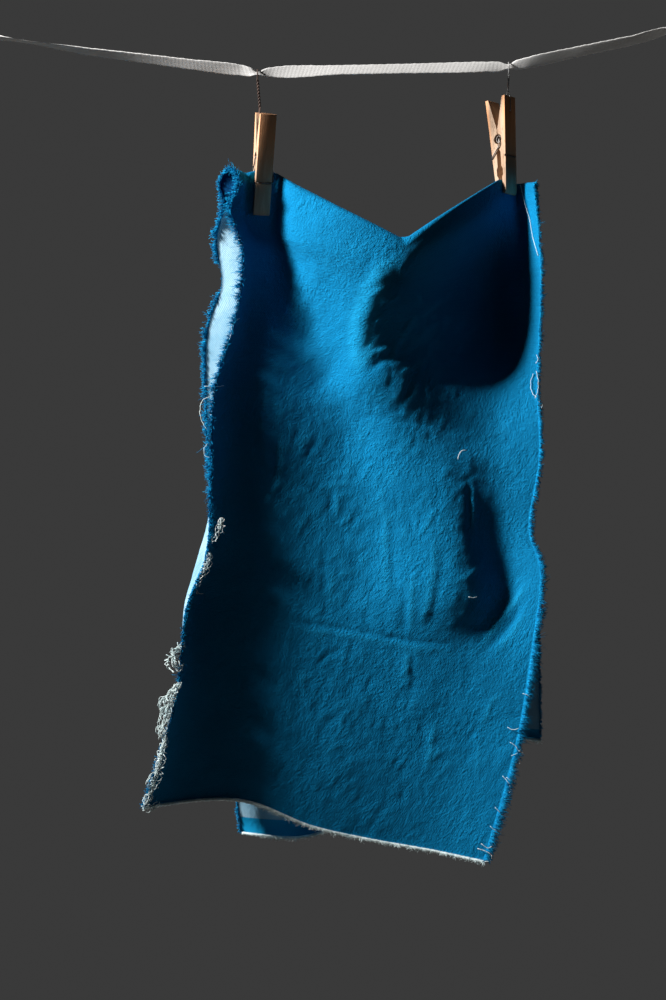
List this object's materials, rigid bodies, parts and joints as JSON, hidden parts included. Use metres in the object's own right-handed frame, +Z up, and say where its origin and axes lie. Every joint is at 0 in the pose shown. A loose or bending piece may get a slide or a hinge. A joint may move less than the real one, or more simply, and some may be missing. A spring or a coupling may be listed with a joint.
{
  "type": "denim cloth hung on a clothespin line",
  "caption": "Blue denim with frayed cut edges, folded in two and hung from a flat cotton tape by two wooden clothespins on wire ties.",
  "frame": {"origin": "centre of the knot that ends the tape on the left", "axes": "+X to the right along the tape, +Y away from the cloth's front, +Z up"},
  "size_m": [0.5683, 0.1018, 0.6734],
  "materials": {
    "denim": "matt",
    "fray": "matt",
    "cotton": "matt",
    "brown_wire": "satin",
    "grey_wire": "satin",
    "beech": "matt",
    "spring_steel": "satin"
  },
  "bodies": {
    "root": {"denim_cloth": "denim", "fray_left": "fray", "fray_right": "fray", "line_tape": "cotton", "line_knot_left": "cotton", "line_knot_right": "cotton", "tie_left": "brown_wire", "tie_right": "grey_wire", "pin_left_front": "beech", "pin_left_rear": "beech", "pin_left_spring": "spring_steel", "pin_right_front": "beech", "pin_right_rear": "beech", "pin_right_spring": "spring_steel"}
  },
  "joints": []
}
